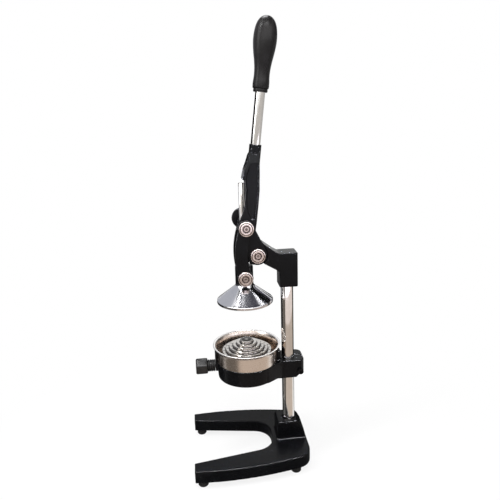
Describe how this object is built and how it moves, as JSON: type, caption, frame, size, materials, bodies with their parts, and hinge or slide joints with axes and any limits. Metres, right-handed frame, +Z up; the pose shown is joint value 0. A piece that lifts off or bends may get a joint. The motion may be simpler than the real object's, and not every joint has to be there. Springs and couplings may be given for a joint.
{
  "type": "lever citrus press",
  "caption": "Bench lever juice press: a long hand lever drives a polished cone down onto a domed strainer in a steel cup, on a round post and U-shaped base.",
  "frame": {"origin": "point on the floor below the cup, on the axis the cup, the press cone and the guide rod share; it is also the centre of the footprint", "axes": "+Z up, -Y towards the open front of the base, where the front knob points and the lever comes down; +X towards the side the picture was taken from"},
  "size_m": [0.18, 0.207, 0.7626],
  "materials": {
    "black_casting": "semi-gloss black enamel on a casting",
    "rubber": "matt",
    "fastener_steel": "turned, satin",
    "hardware_steel": "plain zinc-grey steel",
    "post_chrome": "polished",
    "cone_metal": "polished",
    "cup_steel": "satin outside, polished inside",
    "bronze": "oiled bearing bronze",
    "black_plastic": "smooth moulded, low gloss"
  },
  "bodies": {
    "stand": {"base_casting": "black_casting", "rubber_feet": "rubber", "foot_screws": "hardware_steel", "post": "post_chrome", "post_bolt": "hardware_steel", "post_washer": "hardware_steel", "head_bracket": "black_casting", "head_set_screws": "hardware_steel", "guide_bush": "bronze", "fulcrum_bolt": "fastener_steel", "fulcrum_nut": "fastener_steel"},
    "holder": {"cup_holder": "black_casting", "clamp_screw": "hardware_steel", "clamp_nut": "hardware_steel"},
    "knob": {"knob": "black_plastic", "knob_stud": "hardware_steel"},
    "cup": {"cup": "cup_steel", "cup_bowl": "cup_steel", "cup_spout": "cup_steel"},
    "strainer": {"strainer": "cup_steel"},
    "ram": {"press_cone": "cone_metal", "guide_rod": "post_chrome", "rod_nut": "hardware_steel", "lower_bolt": "fastener_steel", "lower_nut": "fastener_steel"},
    "links": {"link_near": "black_casting", "link_far": "black_casting", "upper_bolt_heads": "fastener_steel"},
    "lever": {"lever_fork": "black_casting", "lever_tube": "post_chrome", "tube_pin": "hardware_steel", "grip": "black_plastic", "grip_collar": "black_plastic", "upper_bolt_shanks": "hardware_steel", "fulcrum_bushes": "bronze"}
  },
  "joints": [
    {"name": "lever_swing", "type": "hinge", "parent": "stand", "child": "lever", "pos_m": [0, 0.0225, 0.389], "axis": [1, 0, 0], "range_deg": [0, 90]},
    {"name": "press_slide", "type": "slide", "parent": "stand", "child": "ram", "axis": [0, 0, -1], "range_m": [0, 0.06271]},
    {"name": "link_tilt", "type": "hinge", "parent": "ram", "child": "links", "pos_m": [0, 0, 0.3515], "axis": [1, 0, 0], "range_deg": [0, 20.01]},
    {"name": "holder_slide", "type": "slide", "parent": "stand", "child": "holder", "axis": [0, 0, 1], "range_m": [-0.07, 0.005]},
    {"name": "knob_turn", "type": "hinge", "parent": "holder", "child": "knob", "pos_m": [0, -0.07, 0.186], "axis": [0, -1, 0], "range_deg": [0, 360]},
    {"name": "cup_lift", "type": "slide", "parent": "holder", "child": "cup", "axis": [0, 0, 1], "range_m": [0, 0.01]},
    {"name": "strainer_lift", "type": "slide", "parent": "cup", "child": "strainer", "axis": [0, 0, 1], "range_m": [0, 0.012]}
  ],
  "couplings": [
    {"joint": "press_slide", "follows": "lever_swing", "m_per_rad": 0.03992},
    {"joint": "link_tilt", "follows": "lever_swing", "ratio": 0.22235}
  ]
}
